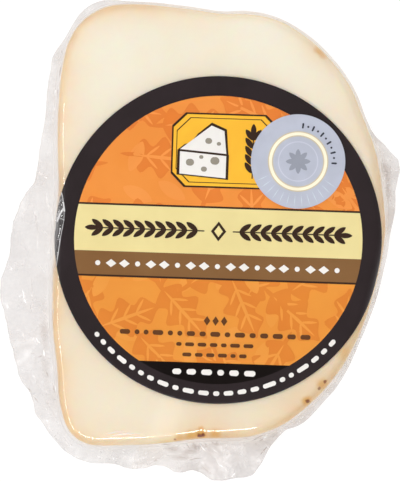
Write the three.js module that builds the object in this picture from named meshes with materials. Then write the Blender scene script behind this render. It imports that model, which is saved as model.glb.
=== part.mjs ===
// A chunk of smoked provolone in a clear vacuum bag, with a round label and a small round seal.
//
// The chunk is a slice across a pressed loaf. Its front and back are cut faces and its whole edge is
// smoked rind: a straight wall on one side, two tight corners and one long round wall. It lies on its
// back with the labelled face up. The bag clings to the rind and leaves it as a crumpled margin, where
// its front and back webs are pressed together. Units are millimetres, +Z is up, and the plan's own
// origin, before the group is centred, is the middle of the label.

import * as THREE from "three";

// Cheese
const CHEESE_THICKNESS = 25;
const WALL_BULGE = 0.3; // the rind stands out most at mid height
const CUT_EDGE_RADIUS = 2.2; // rounding at the straight wall and the corners
const RIND_EDGE_RADIUS = 2.8; // rounding at the long round wall
const RIND_SIDE = Math.PI / 6; // the direction in which the rounding is largest
const FACE_WAVE = { height: 0.3, spanX: 15, spanY: 19, phase: 0.8, crownRadius: 67 }; // never quite flat
const STATIONS = 144; // steps round the outline, shared by the cheese and the bag
const RIM_STEPS = 4; // steps round each rounded edge
const WALL_RINGS = [0.25, 0.5, 0.75];
const FACE_RINGS = [0.9, 0.76, 0.6, 0.42, 0.22, 0];

// The outline that the rind follows, counter-clockwise. A smooth closed curve passes through these.
const CHEESE_OUTLINE = [
  // long round wall, rising, with a flatter stretch half way up
  [39.15, 2.5], [38.2, 13.8], [36.35, 22.5], [33.9, 28.6], [30.9, 35.9], [22.8, 45.8], [13.7, 51.5],
  // shallow dip and the flat top
  [6.2, 53], [1, 52.9], [-5, 53.8], [-18.1, 55.2],
  // first tight corner
  [-26.3, 54.6], [-32.1, 51], [-35.5, 45.3], [-36.8, 38.5],
  // straight wall, drawn in a little above its middle
  [-37.6, 28.2], [-37.6, 19], [-37.4, 12.5], [-38.3, 2], [-38.75, -9], [-38.7, -21], [-37.8, -29],
  // second tight corner
  [-37.1, -38], [-35, -44.7], [-31, -47.8], [-23.4, -48.1],
  // bottom, then back up the round wall
  [-11.8, -47.5], [-4.9, -46.6], [1.7, -46.4], [8.1, -45.9],
  [15.7, -43], [22, -38], [28.1, -31.1], [33.6, -21], [37.5, -8],
];

// Bag
const FIT_GAP = 0.25; // clearance between pieces that touch
const FILM_SKIN = 0.24; // the film and its folds where they cling to the wall
const FILM_LIP = 0.1; // the same at the band's upper and lower lips
const LIP_REACH = 2.5; // height over which a lip thins out
const BAND_FOOT = 3.4; // lowest and highest reach of the clinging band
const BAND_HEAD = 21.6;
const SEAM_HEIGHT = 10.5; // where the two webs meet and leave the wall
const TENT_RISE = 3.6; // half the height over which the webs draw together
const TENT_REACH = 0.9; // how far out the webs meet at most, and as a share of a narrow margin
const TENT_SHARE = 0.3;
const PLY_ROOT = 1.1; // half thickness of the margin at its root and at its trimmed edge
const PLY_EDGE = 0.3;
const LEAST_MARGIN = 0.12; // the margin never shrinks to nothing
const WIDEST_MARGIN = 12.5;
const DROOP = 2.2; // how far the widest margin hangs below the seam
const MARGIN_RINGS = [0.3, 0.55, 0.8, 1];
const CRUMPLES = [
  // waves round the bag, height at the trimmed edge, phase
  { waves: 11, height: 0.9, phase: 0.4 },
  { waves: 19, height: 0.6, phase: 2.1 },
  { waves: 34, height: 0.45, phase: 4.4 },
];

// Width of the trimmed margin by direction from the label's middle: degrees, millimetres.
const BAG_MARGIN = [
  [0, 1.1], [14, 2.7], [24, 5], [30, 2.5], [35, 0.65], [42, 0.35], [82, 0.7], [104, 0.35], [110, 0.6],
  [118, 2], [126, 1], [132, 2.65], [142, 2.9], [156, 4.8], [161, 5.7], [168, 8.5], [177, 10.2],
  [185, 10.3], [191, 12.5], [196, 12.6], [201, 11.5], [215, 10], [222, 7.1], [233, 3.9], [243, 4.3],
  [249, 6.1], [254, 5], [260, 7.6], [263, 7.2], [269, 9.9], [277, 9.4], [280, 8.6], [283, 3.4],
  [289, 1.35], [294, 2.2], [306, 1.75], [326, 0.7], [344, 1],
];

// Label and seal
const LABEL_RADIUS = 38.2;
const LABEL_THICKNESS = 0.3;
const LABEL_STATIONS = 72;
const LABEL_RINGS = [0, 0.4, 0.72, 0.86, 0.92, 0.955, 0.98, 1];
const SEAL_RADIUS = 11;
const SEAL_THICKNESS = 0.25;
const SEAL_STATIONS = 40;
const SEAL_RINGS = [0, 0.55, 1];
const SEAL_PLACE = [18.6, 18.3];

const { atan2, cos, hypot, max, min, PI, sin, sqrt } = Math;
const FULL_TURN = 360;
const mix = (a, b, t) => a + (b - a) * t;
const turn = (i, count) => (2 * PI * i) / count;

// Points and outward normals at even steps along the cheese's outline.
function walkOutline() {
  const corners = CHEESE_OUTLINE.map(([x, y]) => new THREE.Vector3(x, y, 0));
  const curve = new THREE.CatmullRomCurve3(corners, true, "centripetal");
  curve.arcLengthDivisions = 2000;
  return Array.from({ length: STATIONS }, (_, i) => {
    const { x, y } = curve.getPointAt(i / STATIONS);
    const tangent = curve.getTangentAt(i / STATIONS);
    return { x, y, nx: tangent.y, ny: -tangent.x };
  });
}
const outline = walkOutline();

// Distance from a point inside the outline to the wall.
function distanceToWall(x, y) {
  return outline.reduce((least, a, i) => {
    const b = outline[(i + 1) % STATIONS];
    const [ex, ey] = [b.x - a.x, b.y - a.y];
    const t = max(0, min(1, ((x - a.x) * ex + (y - a.y) * ey) / (ex * ex + ey * ey)));
    return min(least, hypot(x - a.x - t * ex, y - a.y - t * ey));
  }, Infinity);
}

// Radius of the rim's rounding, which is tighter towards the straight wall and the second corner.
function edgeRadius(x, y) {
  const towardsRind = 0.5 + 0.5 * cos(atan2(y, x) - RIND_SIDE);
  return mix(CUT_EDGE_RADIUS, RIND_EDGE_RADIUS, towardsRind);
}

// How far the rind lies inside the outline at one height.
function wallDraft(z) {
  return WALL_BULGE * (1 - sin((PI * z) / CHEESE_THICKNESS));
}

// Height of the upper cut face, before the rim falls away.
function faceHeight(x, y) {
  const { height, spanX, spanY, phase, crownRadius } = FACE_WAVE;
  const crown = (x * x + y * y) / (crownRadius * crownRadius);
  return CHEESE_THICKNESS + height * (sin(x / spanX + phase) * cos(y / spanY) - crown);
}

// Height of the cheese's upper surface, rim included.
function topHeight(x, y) {
  const radius = edgeRadius(x, y);
  const inward = max(0, radius - distanceToWall(x, y));
  return faceHeight(x, y) - radius + sqrt(radius * radius - inward * inward);
}

// A closed skin with one copy of the profile at each station, every point put where place() says.
// It borrows the grid of a turned cylinder, and a profile climbs or closes as a lathe's does.
function turned(profile, stations, place) {
  const geometry = new THREE.LatheGeometry(profile.map((_, j) => new THREE.Vector2(1, j)), stations);
  const position = geometry.getAttribute("position");
  for (let i = 0; i <= stations; i++)
    profile.forEach((point, j) => position.setXYZ(i * profile.length + j, ...place(i % stations, point)));
  geometry.computeVertexNormals();
  return geometry;
}

// The cheese, from the middle of its back, up the wall, round the rim and in over the front.
function cheeseGeometry() {
  const quarter = Array.from({ length: RIM_STEPS + 1 }, (_, k) => (k / RIM_STEPS) * (PI / 2));
  // Each profile point is [part of the body, rise, inset in edge radii, share of the way out].
  const back = [["back", 0, 1, 0], ...quarter.map((a) => ["back", 1 - cos(a), 1 - sin(a), 1])];
  const wall = WALL_RINGS.map((rise) => ["wall", rise, 0, 1]);
  const rim = quarter.toReversed().map((a) => ["front", 1 - cos(a), 1 - sin(a), 1]);
  const face = FACE_RINGS.map((share) => ["front", 0, 1, share]);
  return turned([...back, ...wall, ...rim, ...face], STATIONS, (i, [part, rise, inset, share]) => {
    const { x, y, nx, ny } = outline[i];
    const radius = edgeRadius(x, y);
    const shoulder = part === "wall" ? mix(radius, CHEESE_THICKNESS - radius, rise) : radius;
    const inward = inset * radius + wallDraft(shoulder);
    const [px, py] = [(x - nx * inward) * share, (y - ny * inward) * share];
    if (part === "back") return [px, py, rise * radius];
    const top = faceHeight(px, py);
    return [px, py, part === "wall" ? mix(radius, top - radius, rise) : top - rise * radius];
  });
}

// Width of the margin in one direction, eased between the stated widths.
function marginAt(x, y) {
  const degrees = (atan2(y, x) / turn(1, FULL_TURN) + FULL_TURN) % FULL_TURN;
  const after = BAG_MARGIN.findIndex(([at]) => at > degrees);
  const [to, from] = [BAG_MARGIN.at(after < 0 ? 0 : after), BAG_MARGIN.at(after < 0 ? -1 : after - 1)];
  const t = (degrees - from[0]) / ((to[0] - from[0] + FULL_TURN) % FULL_TURN);
  return mix(from[1], to[1], t * t * (3 - 2 * t));
}

// The bag's band and margin: one closed section carried round the cheese.
function bagGeometry() {
  const skin = FIT_GAP + FILM_SKIN;
  // A band point is ["band", height, distance from the wall]. A web point is [its stretch, how far
  // along that stretch, 1 for the upper web or -1 for the lower one].
  const innerHeights = [BAND_FOOT, BAND_FOOT + LIP_REACH, BAND_HEAD - LIP_REACH, BAND_HEAD];
  const inner = innerHeights.map((z) => ["band", z, FIT_GAP]);
  const headLip = [["band", BAND_HEAD, FIT_GAP + FILM_LIP], ["band", BAND_HEAD - LIP_REACH, skin]];
  const footLip = [["band", BAND_FOOT, FIT_GAP + FILM_LIP]];
  const web = [["tent", 0], ["tent", 1], ...MARGIN_RINGS.map((along) => ["margin", along])];
  const upper = web.map((point) => [...point, 1]);
  const lower = web.toReversed().map((point) => [...point, -1]);
  // It comes down the outer side and back up the inner side, which turns the faces outward.
  const section = [...inner, ...headLip, ...upper, ...lower, ...footLip, inner[0]].reverse();

  return turned(section, STATIONS, (i, [stretch, along, side]) => {
    const { x, y, nx, ny } = outline[i];
    const reach = max(skin + LEAST_MARGIN, marginAt(x, y));
    const root = skin + min(TENT_REACH, TENT_SHARE * (reach - skin));
    // The band and the tent keep square to the wall, and the margin runs away from the label's middle.
    const outward = (square, away) => {
      const far = hypot(x, y);
      return [x + nx * square + (x / far) * away, y + ny * square + (y / far) * away];
    };
    if (stretch === "band") return [...outward(side - wallDraft(along), 0), along];
    if (stretch === "tent") {
      const spread = mix(TENT_RISE, PLY_ROOT, along);
      return [...outward(mix(skin, root, along), 0), SEAM_HEIGHT + side * spread];
    }
    const share = min(1, reach / WIDEST_MARGIN);
    const wave = (sum, { waves, height, phase }) => sum + height * sin(waves * turn(i, STATIONS) + phase);
    const height = SEAM_HEIGHT + share * along * (CRUMPLES.reduce(wave, 0) - DROOP * along);
    return [...outward(root, (reach - root) * along), height + side * mix(PLY_ROOT, PLY_EDGE, sqrt(along))];
  });
}

// A round sticker that follows the cheese's upper surface at a given height above it.
function stickerGeometry([cx, cy], radius, lift, thickness, stations, rings) {
  const under = rings.map((share) => [share, 0]);
  const over = rings.toReversed().map((share) => [share, 1]);
  return turned([...under, ...over], stations, (i, [share, side]) => {
    const x = cx + radius * share * cos(turn(i, stations));
    const y = cy + radius * share * sin(turn(i, stations));
    return [x, y, topHeight(x, y) + lift + side * thickness];
  });
}

function part(name, geometry, finish) {
  const mesh = new THREE.Mesh(geometry, new THREE.MeshStandardMaterial(finish));
  mesh.name = name;
  return mesh;
}

const labelLift = FIT_GAP;
const sealLift = labelLift + LABEL_THICKNESS + FIT_GAP;
const pack = new THREE.Group();
pack.add(
  part("cheese", cheeseGeometry(), { color: 0xf6e9cd, roughness: 0.5, metalness: 0 }),
  part(
    "bag",
    bagGeometry(),
    { color: 0xebe6e3, roughness: 0.15, metalness: 0, transparent: true, opacity: 0.4 },
  ),
  part(
    "label",
    stickerGeometry([0, 0], LABEL_RADIUS, labelLift, LABEL_THICKNESS, LABEL_STATIONS, LABEL_RINGS),
    { color: 0xf19c45, roughness: 0.35, metalness: 0 },
  ),
  part(
    "seal",
    stickerGeometry(SEAL_PLACE, SEAL_RADIUS, sealLift, SEAL_THICKNESS, SEAL_STATIONS, SEAL_RINGS),
    { color: 0xc2c4d0, roughness: 0.3, metalness: 0.6 },
  ),
);

// The frame's origin is the middle of the whole pack's footprint.
const extent = new THREE.Box3().setFromObject(pack, true);
const middle = extent.getCenter(new THREE.Vector3());
pack.position.set(-middle.x, -middle.y, -extent.min.z);

export default pack;
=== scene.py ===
"""A chunk of smoked provolone in a clear vacuum bag, with a round label and a small foil seal."""

import math
import random

import bmesh
import bpy
from mathutils import Matrix, Vector, kdtree, noise
from mathutils.bvhtree import BVHTree


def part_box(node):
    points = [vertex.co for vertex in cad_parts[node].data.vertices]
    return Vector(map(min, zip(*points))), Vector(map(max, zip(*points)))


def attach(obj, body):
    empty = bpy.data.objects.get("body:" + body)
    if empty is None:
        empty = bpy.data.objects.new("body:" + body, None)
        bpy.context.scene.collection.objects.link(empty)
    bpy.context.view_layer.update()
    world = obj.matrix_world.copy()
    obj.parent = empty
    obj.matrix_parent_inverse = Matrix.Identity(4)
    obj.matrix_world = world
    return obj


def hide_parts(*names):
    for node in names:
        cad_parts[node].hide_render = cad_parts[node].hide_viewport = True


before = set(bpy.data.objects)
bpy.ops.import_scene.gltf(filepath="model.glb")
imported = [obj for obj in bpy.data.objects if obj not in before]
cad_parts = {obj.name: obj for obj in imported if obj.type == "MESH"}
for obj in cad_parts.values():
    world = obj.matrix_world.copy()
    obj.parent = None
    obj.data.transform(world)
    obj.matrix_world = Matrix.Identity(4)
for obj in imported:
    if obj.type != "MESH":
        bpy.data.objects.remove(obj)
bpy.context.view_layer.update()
MM = 0.001

# --- Plan of the pack --------------------------------------------------------------------------
# The label's middle is the pack's natural centre. Wall, rim and bag are all worked out in
# directions round it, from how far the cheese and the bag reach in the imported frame.

DIRECTIONS = 720
SKY = 0.1
DOWN = Vector((0, 0, -1))
label_low, label_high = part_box("label")
middle = ((label_low + label_high) / 2).xy.to_3d()
cheese_low, cheese_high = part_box("cheese")


def eased(t):
    t = max(0.0, min(1.0, t))
    return t * t * (3 - 2 * t)


def skin_tree(part):
    """A part's faces, ready for rays and nearest points."""
    bm = bmesh.new()
    bm.from_mesh(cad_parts[part].data)
    tree = BVHTree.FromBMesh(bm)
    bm.free()
    return tree


def outward(turn):
    return Vector((math.cos(turn), math.sin(turn), 0))


def reach_of(part, heights):
    """How far a part reaches from the middle and at what height, in each direction."""
    tree = skin_tree(part)
    reach = []
    for k in range(DIRECTIONS):
        out = outward(2 * math.pi * k / DIRECTIONS)
        farthest = (0.0, 0.0)
        for height in heights:
            start = middle + out * SKY + Vector((0, 0, height))
            hit = tree.ray_cast(start, -out)[0]
            if hit:
                farthest = max(farthest, ((hit.xy.to_3d() - middle).dot(out), height))
        reach.append(farthest)
    return reach


def smoothed(values, span):
    """A closed row of values, each averaged with its neighbours on both sides."""
    count = len(values)
    weights = [1 + math.cos(math.pi * k / (span + 1)) for k in range(-span, span + 1)]
    return [
        sum(w * values[(i + k) % count] for k, w in zip(range(-span, span + 1), weights)) / sum(weights)
        for i in range(count)
    ]


def read_round(values, turn):
    """Reads a closed row of values in any direction."""
    place = turn / (2 * math.pi) * len(values) % len(values)
    below = int(place) % len(values)
    return values[below] + (values[(below + 1) % len(values)] - values[below]) * (place - int(place))


mid_height = (cheese_low.z + cheese_high.z) / 2
wall_reach = smoothed([far for far, _ in reach_of("cheese", [mid_height])], 3)
bag_reach = reach_of("bag", [k * 0.3 * MM for k in range(14, 60)])
edge_reach = smoothed([far for far, _ in bag_reach], 1)
edge_height = smoothed([height for _, height in bag_reach], 3)


def wall_at(turn):
    """The wall's place in one direction, and its outward normal."""
    step = math.radians(0.5)
    place = middle + outward(turn) * read_round(wall_reach, turn)
    ahead = outward(turn + step) * read_round(wall_reach, turn + step)
    behind = outward(turn - step) * read_round(wall_reach, turn - step)
    along = (ahead - behind).normalized()
    return place, Vector((along.y, -along.x, 0))


wall_points = kdtree.KDTree(DIRECTIONS)
for k in range(DIRECTIONS):
    wall_points.insert(wall_at(2 * math.pi * k / DIRECTIONS)[0], k)
wall_points.balance()


def inside_wall(point):
    """How far a point lies from the wall, seen from above."""
    return wall_points.find(point.xy.to_3d())[2]


# --- Cheese ------------------------------------------------------------------------------------
# A slice across a pressed, smoked loaf. The cut faces are pale, waxy paste, and smoke has left a
# thin tan rind round the whole wall. The rind was tied at the foot, where it is pinched and dark.

WELD = 1e-6
BACK_FLAT = 1.5 * MM  # the back stays flat up to this height
RIND_FADE = 1.25 * MM  # how far the tan creeps in over the cut face
RIND_LEAN, RIND_BLEND = 0.32, 0.62  # how level the skin is where the rind gives way, and over how much
TIE = (-4.1, -45.3)  # the pinched spot, from the middle
TIE_DEPTH, TIE_RADIUS = 0.15 * MM, 1.2 * MM
CREASE_LENGTH, CREASE_DEPTH, CREASE_WIDTH = 5 * MM, 0.03 * MM, 0.6 * MM
# Where the rind is smoked deeper: direction and spread in degrees, and depth.
SMOKE = [
    (0, 26, 1.0), (118, 18, 0.7), (145, 12, 0.7), (160, 10, 1.0), (185, 28, 0.7),
    (208, 14, 0.9), (224, 16, 0.8), (268, 10, 1.0), (300, 22, 0.65), (335, 18, 0.6),
]
# Where faint gold creeps in over the cut face: direction and spread in degrees, strength, reach in mm.
GLOW = [
    (8, 26, 0.45, 4.0), (38, 16, 0.3, 5.0), (62, 9, 0.4, 3.5), (112, 16, 0.7, 3.0),
    (135, 30, 0.5, 3.6), (163, 16, 0.65, 3.0), (192, 30, 0.7, 3.4), (228, 22, 0.58, 3.4),
    (266, 12, 0.6, 5.0), (300, 20, 0.55, 6.0), (330, 20, 0.62, 6.0),
]
# Where the rim is hardly darker than the paste: direction and spread in degrees, and how little it shows.
PALE = [(60, 38, 1.0), (98, 16, 1.0), (143, 12, 0.6), (247, 10, 0.8)]
# Specks and stains on the rim: place from the middle, radius, and how much of it they take.
SPECKS = [
    (-4.3, -45.65, 0.5, 1.0), (-3.6, -45.5, 0.42, 1.0), (-10.1, -46.5, 0.3, 0.7),
    (20.9, -37.6, 0.5, 0.9), (23.6, -34.6, 0.36, 0.7), (24.9, -33.0, 0.38, 0.8),
]
STAINS = [
    (23.5, 44.5, 1.0, 0.55), (24.6, 43.5, 1.1, 0.6), (-9.0, -46.2, 1.0, 0.5), (-6.4, -45.9, 1.3, 0.7),
    (-4.0, -43.8, 0.5, 0.45), (-4.0, -45.5, 1.3, 0.85), (-0.8, -45.4, 1.2, 0.6), (20.7, -37.6, 1.1, 0.7),
    (24.3, -33.7, 1.2, 0.55), (29.5, -26.4, 1.6, 0.35),
]
DENTS = ((0.10 * MM, 130), (0.03 * MM, 520))  # how deep and how fine the rind's unevenness is
LABEL_RADIUS = 38.2 * MM
# painted shade: the paste is painted darker beside the label, where the label would shade it
PAINTED_SHADE_REACH, PAINTED_SHADE = 3.0 * MM, 0.22  # the paste is a little duller beside the label


def paint(red, green, blue):
    """A colour on a 0 to 255 screen, as the shaders take it."""
    return (*(((c / 255 + 0.055) / 1.055) ** 2.4 for c in (red, green, blue)), 1)


def new_material(name):
    material = bpy.data.materials.new(name)
    material.use_nodes = True
    material.node_tree.nodes.clear()
    return material, material.node_tree


def node(tree, kind, inputs=None, result=0, **settings):
    """Adds a shader node and gives one of its outputs. Inputs are values or other nodes' outputs."""
    made = tree.nodes.new(f"ShaderNode{kind}")
    for name, value in settings.items():
        setattr(made, name, value)
    for socket, value in (inputs or {}).items():
        if isinstance(value, bpy.types.NodeSocket):
            tree.links.new(value, made.inputs[socket])
        else:
            made.inputs[socket].default_value = value
    return made.outputs[result] if made.outputs else None


def object_place(tree):
    return node(tree, "TexCoord", result="Object")


def mix_colour(tree, factor, first, second):
    """Goes from the first colour to the second as the factor goes from 0 to 1."""
    return node(tree, "Mix", {0: factor, 6: first, 7: second}, 2, data_type="RGBA")


def ramp(tree, value, low, high, start=0.0, end=1.0):
    """Goes from start to end as the value goes from low to high, and no further."""
    numbers = {0: value, 1: low, 2: high, 3: start, 4: end}
    return node(tree, "MapRange", numbers, interpolation_type="SMOOTHSTEP")


def math_of(tree, operation, first, second):
    return node(tree, "Math", {0: first, 1: second}, operation=operation)


def noise_node(tree, coords, scale, detail=2.0):
    return node(tree, "TexNoise", {"Vector": coords, "Scale": scale, "Detail": detail}, "Fac")


def attribute(tree, name):
    return node(tree, "Attribute", result="Fac", attribute_name=name)


def bump(tree, height, distance, strength=1.0):
    return node(tree, "Bump", {"Strength": strength, "Distance": distance, "Height": height}, "Normal")


def surface(tree, shader):
    node(tree, "OutputMaterial", {"Surface": shader})


SPOT_DEPTH = 0.3  # heights count for less in a spot, which runs down the wall a little
WOBBLE = 0.7 * MM  # how ragged a spot is


def near_spot(tree, coords, spot, softness):
    """The strength inside a spot on the rim, fading to 0 past its radius."""
    x, y, radius, strength = spot
    centre = middle + Vector((x * MM, y * MM, SPOT_DEPTH * (cheese_high.z - MM)))
    centre += Vector((1, 1, SPOT_DEPTH)) * WOBBLE / 2
    distance = node(tree, "VectorMath", {0: coords, 1: centre}, "Value", operation="DISTANCE")
    near, far = (1 - softness) * radius * MM, (1 + softness) * radius * MM
    return ramp(tree, distance, near, far, strength, 0.0)


def cheese_material():
    material, tree = new_material("smoked cheese")
    coords = object_place(tree)
    # the paste is palest at the top of the slice
    warmth = ramp(tree, node(tree, "SeparateXYZ", {0: coords}, "Y"), 0.03, -0.05)
    paste = mix_colour(tree, warmth, paint(252, 243, 226), paint(246, 236, 215))
    cloud = ramp(tree, noise_node(tree, coords, 60.0), 0.35, 0.7, 0.0, 0.35)
    paste = mix_colour(tree, cloud, paste, paint(246, 234, 210))
    uneven = ramp(tree, noise_node(tree, coords, 150.0, 3.0), 0.25, 0.75, 0.7, 1.0)
    glow = math_of(tree, "MULTIPLY", attribute(tree, "glow"), uneven)
    paste = mix_colour(tree, glow, paste, paint(226, 180, 110))
    # painted shade beside the label
    paste = mix_colour(tree, attribute(tree, "shade"), paste, paint(206, 180, 140))
    mottle = ramp(tree, noise_node(tree, coords, 260.0, 4.0), 0.3, 0.7)
    tan = mix_colour(tree, mottle, paint(240, 213, 158), paint(234, 202, 140))
    deep = mix_colour(tree, mottle, paint(228, 183, 118), paint(215, 162, 92))
    crust = mix_colour(tree, attribute(tree, "smoke"), tan, deep)
    ragged = ramp(tree, noise_node(tree, coords, 420.0, 3.0), 0.2, 0.8, 0.75, 1.0)
    colour = mix_colour(tree, math_of(tree, "MULTIPLY", attribute(tree, "rind"), ragged), paste, crust)
    # the spots are measured in a space that wobbles, and where heights count for less
    texture = node(tree, "TexNoise", {"Vector": coords, "Scale": 900.0}, "Color")
    wobbled = {0: texture, 1: (WOBBLE,) * 3, 2: coords}
    wobbly = node(tree, "VectorMath", wobbled, operation="MULTIPLY_ADD")
    tall = node(tree, "VectorMath", {0: wobbly, 1: (1, 1, SPOT_DEPTH)}, operation="MULTIPLY")
    for spots, softness, stain in ((STAINS, 0.7, paint(220, 160, 42)), (SPECKS, 0.4, paint(125, 52, 0))):
        for spot in spots:
            colour = mix_colour(tree, near_spot(tree, tall, spot, softness), colour, stain)
    skin = {
        "Base Color": colour,
        "Roughness": 0.45,
        "Specular IOR Level": 0.2,
        "Subsurface Weight": 0.6,
        "Subsurface Radius": (1.0, 0.62, 0.35),
        "Subsurface Scale": 2.2 * MM,
        "Normal": bump(tree, noise_node(tree, coords, 700.0, 4.0), 0.05 * MM, 0.5),
    }
    surface(tree, node(tree, "BsdfPrincipled", skin))
    return material


def new_layers(bm, *names):
    return [bm.verts.layers.float.new(name) for name in names]


def in_scene(name, data):
    made = bpy.data.objects.new(name, data)
    bpy.context.scene.collection.objects.link(made)
    return made


def piece_from(name, bm, *materials):
    """Puts a finished bmesh in the scene, smooth, with its materials."""
    mesh = bpy.data.meshes.new(name)
    bm.to_mesh(mesh)
    bm.free()
    mesh.shade_smooth()
    for material in materials:
        mesh.materials.append(material)
    return in_scene(name, mesh)


def settle(piece):
    """Makes the result of a piece's modifiers its own mesh."""
    graph = bpy.context.evaluated_depsgraph_get()
    piece.data = bpy.data.meshes.new_from_object(piece.evaluated_get(graph))
    piece.modifiers.clear()


def declare(piece, node_slot, *nodes):
    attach(piece, "root")
    if nodes:
        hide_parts(*nodes)


def strongest(table, turn, depth=0.0):
    """What a table of directions, spreads and strengths comes to, in one direction and so far in."""
    strength = 0.0
    for degrees, spread, peak, *reach in table:
        away = (math.degrees(turn) - degrees + 180) % 360 - 180
        inward = depth / (reach[0] * MM) if reach else 0.0
        strength = max(strength, peak * math.exp(-((away / spread) ** 2) - inward**1.2))
    return strength


bm = bmesh.new()
bm.from_mesh(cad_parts["cheese"].data)
bmesh.ops.remove_doubles(bm, verts=bm.verts, dist=WELD)
bmesh.ops.join_triangles(
    bm, faces=bm.faces, angle_face_threshold=math.radians(40), angle_shape_threshold=math.radians(60)
)
cheese = piece_from("cheese_body", bm)
rounding = cheese.modifiers.new("rounding", "SUBSURF")
rounding.levels = rounding.render_levels = 2
settle(cheese)

bm = bmesh.new()
bm.from_mesh(cheese.data)
bm.normal_update()
rind_layer, smoke_layer, glow_layer, painted_shade_layer = new_layers(bm, "rind", "smoke", "glow", "shade")
tie = middle + Vector((TIE[0] * MM, TIE[1] * MM, cheese_high.z - 1.5 * MM))
for v in bm.verts:
    from_middle = v.co.xy.to_3d() - middle
    turn = math.atan2(from_middle.y, from_middle.x)
    depth = inside_wall(v.co)
    pale = strongest(PALE, turn) if v.normal.z > 0 else 0.0
    wall = 1 - eased((abs(v.normal.z) - RIND_LEAN + 0.2 * pale) / (RIND_BLEND - 0.1 * pale))
    v[rind_layer] = max(wall, (1 - 0.7 * pale) * math.exp(-((depth / RIND_FADE) ** 1.6)))
    v[smoke_layer] = strongest(SMOKE, turn)
    v[glow_layer] = strongest(GLOW, turn, depth)
    v[painted_shade_layer] = PAINTED_SHADE * math.exp(-max(0.0, from_middle.length - LABEL_RADIUS) / PAINTED_SHADE_REACH)
    if v.co.z > BACK_FLAT:
        dents = sum(depth * noise.noise(v.co * fineness) for depth, fineness in DENTS)
        to_tie = (v.co - tie).length
        pinch = TIE_DEPTH * math.exp(-((to_tie / TIE_RADIUS) ** 2))
        across, inward = v.co.x - tie.x, v.co.y - tie.y
        crease = CREASE_DEPTH * math.exp(-((across / CREASE_WIDTH) ** 2)) * eased(1 - inward / CREASE_LENGTH)
        v.co += v.normal * (dents - pinch - (crease if inward > -TIE_RADIUS else 0))
bm.to_mesh(cheese.data)
cheese_tree = BVHTree.FromBMesh(bm)
bm.free()
cheese.data.materials.append(cheese_material())
cheese.data.shade_smooth()
declare(cheese, "cheese", "cheese")

# --- Bag film ----------------------------------------------------------------------------------
# Two webs of clear film, drawn tight over the chunk by vacuum. They meet part of the way down the
# wall and run on together as a crumpled margin, which was cut by hand and never lies flat.

CLING = 0.12 * MM  # the film's outer face above the cheese
SEAM_HEIGHT = 10.5 * MM
TENT_RISE = 3.6 * MM
PLY_ROOT, PLY_EDGE = 0.9 * MM, 0.12 * MM  # half the distance between the webs
WIDEST = 12.5 * MM
RIM_REACH = 3.6 * MM  # the rim's rounding starts this far in from the wall
FILM_STATIONS = 900
UPPER_FACE = [0.4, 0.62, 0.7, 0.76, 0.81, 0.85, 0.88, 0.91, 0.935, 0.955, 0.97, 0.985, 1.0]
UPPER_STEPS = {"rim": 10, "wall": 8, "tent": 4, "margin": 32}
LOWER_FACE = [0.4, 0.7, 0.86, 0.95, 1.0]
LOWER_STEPS = {"rim": 6, "wall": 6, "tent": 3, "margin": 14}
LOOSE = 0.35  # from here on the film is free of the cheese
NARROW = 0.299  # and from here on, where its margin is narrow
CLEAR_SIDE = (73, 37)  # the narrow margin is smooth and clear here: its middle and half width in degrees
CLEAR_FADE = 10  # over how many degrees that starts and ends
CALM = [(160, 38, 0.6), (120, 20, 0.5)]  # where the margin is smoother: direction, spread, how much
HAZY = [(276, 13, 0.5)]  # where it is cloudier
VEILED = [(177, 13, 0.75)]  # where white film covers the rim up to the label
SLACK = [(255.5, 4.2, 1.0)]  # where it lies slack on the rim and doesn't shine
# painted shade: on this side, away from the lights, the margin gets a greyer film as if the cheese shaded
# it; it is also finely crumpled there
SHADED_SIDE = (-39, 72)  # finely crumpled and greyer here: its middle and half width in degrees
WAVE, PLEAT, CREASE = 9 * MM, 8.5 * MM, 4.2 * MM  # the sizes of the margin's waves, pleats and creases
BEND, SLIP = 2.5, 0.35  # how far those are bent out of line, and how far the fine folds slip aside, in mm
MID_CELL = 0.4  # a facet's usual height
ROOT_WIDTH, ROOT_SHARE = 0.9 * MM, 0.3  # the margin's root, and the most of a narrow margin it takes
SEAM_WHITE = 0.45  # how white the film is drawn where the webs leave the wall
ROOT_FADE = 1.5 * MM  # how far that runs out into the margin
RIM_RIPPLE, WALL_RIPPLE, PLY_RIPPLE = 0.02 * MM, 0.10 * MM, 0.12 * MM
noise.seed_set(7)  # without it, noise vectors differ from run to run


def off(turn, degrees):
    """How far a direction is from another one, in degrees."""
    return abs((math.degrees(turn) - degrees + 180) % 360 - 180)


def film_section():
    """The places that the film goes through from the top's middle to the back's middle."""
    halves = []
    for faces, steps in ((UPPER_FACE, UPPER_STEPS), (LOWER_FACE, LOWER_STEPS)):
        stretches = [(kind, (k + 1) / count) for kind, count in steps.items() for k in range(count)]
        halves.append([("face", share) for share in faces] + stretches)
    upper = [(kind, share, 1) for kind, share in halves[0]]
    lower = [(kind, share, -1) for kind, share in reversed(halves[1])]
    return [("face", 0.0, 1), *upper, *lower, ("face", 0.0, -1)]


def cell_height(point, size):
    """Flat facets that meet in sharp creases, from 0 to about 1."""
    near = noise.voronoi(point / size)[0]
    return near[1] - near[0]


def crumple(point, outness, turn):
    """How far the margin is pushed up or down, in broad facets with a few sharp creases."""
    bent = point + noise.noise_vector(point / WAVE) * BEND * MM
    wave = noise.noise(Vector((bent.x, bent.y, 0)) / WAVE)
    pleat = cell_height(Vector((bent.x, bent.y, 0)), PLEAT) - MID_CELL
    crease = cell_height(Vector((bent.y, -bent.x, 0.3)), CREASE) - MID_CELL
    return (0.8 * wave + 0.5 * pleat + 0.22 * crease) * MM * outness * (1 - strongest(CALM, turn))


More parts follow.
